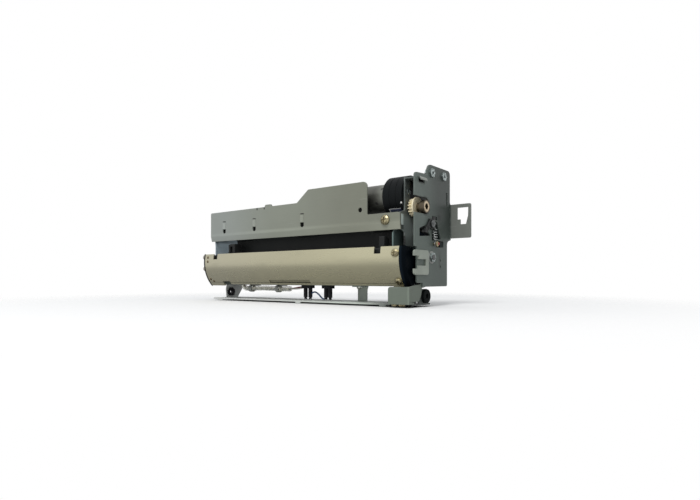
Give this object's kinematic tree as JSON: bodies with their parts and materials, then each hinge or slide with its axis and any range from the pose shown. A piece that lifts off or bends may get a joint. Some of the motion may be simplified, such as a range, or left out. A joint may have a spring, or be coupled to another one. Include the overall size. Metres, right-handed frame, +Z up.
{
  "type": "cash slot shutter unit",
  "caption": "Motorised cash slot shutter: a curved door on a shaft closes the slot under a front panel, with gear drive, hanging flap, note tray, sprung latch lever and keyholed frame.",
  "frame": {"origin": "midway between the side plates, at the underside of the base plate, in the plane of the front panel's front face", "axes": "+X along the slot towards the motor end, +Y from the customer's side to the back, +Z up"},
  "size_m": [0.2808, 0.0708, 0.1135],
  "materials": {
    "panel_steel": "satin grey-green coating",
    "plate_steel": "satin grey coating",
    "inner_steel": "satin dark grey coating",
    "cover_silver": "satin champagne",
    "black_plastic": "moulded, matt",
    "dark_steel": "black oxide",
    "bright_steel": "ground",
    "yellow_zinc": "yellow zinc plated",
    "brass": "turned",
    "motor_steel": "drawn can, satin",
    "ivory_plastic": "moulded, matt",
    "glide_plastic": "moulded, satin",
    "bush_rubber": "moulded",
    "sleeve_plastic": "translucent film",
    "clip_plastic": "moulded",
    "wire_white": "extruded",
    "wire_red": "extruded",
    "wire_blue": "extruded"
  },
  "bodies": {
    "frame": {"side_plate_right": "plate_steel", "side_plate_left": "plate_steel", "inner_plate": "inner_steel", "motor_bracket": "plate_steel", "front_panel": "panel_steel", "base_plate": "panel_steel", "lower_channel": "plate_steel", "tie_rod": "bright_steel", "corner_bracket": "panel_steel", "note_tray": "black_plastic", "shaft_bush_left": "ivory_plastic", "shaft_bush_right": "ivory_plastic", "flap_pin": "bright_steel", "motor_can": "motor_steel", "gearbox": "black_plastic", "gearbox_screws": "yellow_zinc", "idler_pin": "bright_steel", "lever_pin": "bright_steel", "lever_spring": "bright_steel", "spring_post": "brass", "edge_glide": "glide_plastic", "lug_bush_left": "bush_rubber", "lug_bush_right": "bush_rubber", "plate_fasteners": "bright_steel", "panel_screw": "yellow_zinc", "corner_screws": "yellow_zinc", "upright_screws": "bright_steel", "tray_screws": "yellow_zinc", "tie_screws": "yellow_zinc", "sensor_boots": "black_plastic", "harness_sleeve": "sleeve_plastic", "harness_clips": "clip_plastic", "lead_white": "wire_white", "lead_red": "wire_red", "lead_blue": "wire_blue", "upper_guide": "black_plastic"},
    "door": {"door_cover": "cover_silver", "door_end_left": "dark_steel", "door_end_right": "black_plastic", "door_shaft": "bright_steel", "shaft_nut": "bright_steel", "cover_screws": "yellow_zinc", "cover_rivets": "yellow_zinc", "end_knobs": "ivory_plastic"},
    "pinion": {"drive_pinion": "brass"},
    "idler": {"idler_gear": "black_plastic"},
    "flap": {"flap": "black_plastic"},
    "lever": {"latch_lever": "dark_steel"}
  },
  "joints": [
    {"name": "door_hinge", "type": "hinge", "parent": "frame", "child": "door", "pos_m": [0, 0.0275, 0.0393], "axis": [-1, 0, 0], "range_deg": [0, 25]},
    {"name": "idler_spin", "type": "hinge", "parent": "frame", "child": "idler", "pos_m": [0.1114, 0.03363, 0.07071], "axis": [-1, 0, 0], "range_deg": [-41.7, 0]},
    {"name": "pinion_spin", "type": "hinge", "parent": "frame", "child": "pinion", "pos_m": [0.1114, 0.0172, 0.079], "axis": [-1, 0, 0], "range_deg": [0, 78.2]},
    {"name": "flap_hinge", "type": "hinge", "parent": "frame", "child": "flap", "pos_m": [-0.0015, 0.0165, 0.064], "axis": [1, 0, 0], "range_deg": [0, 70]},
    {"name": "lever_pivot", "type": "hinge", "parent": "frame", "child": "lever", "pos_m": [0.1224, 0.026, 0.066], "axis": [1, 0, 0], "range_deg": [0, 8], "stiffness_Nm_per_rad": 0.01, "springref_deg": -11.46, "deforming": ["lever_spring"]}
  ],
  "couplings": [
    {"joint": "idler_spin", "follows": "door_hinge", "ratio": -1.6667},
    {"joint": "pinion_spin", "follows": "door_hinge", "ratio": 3.125}
  ]
}
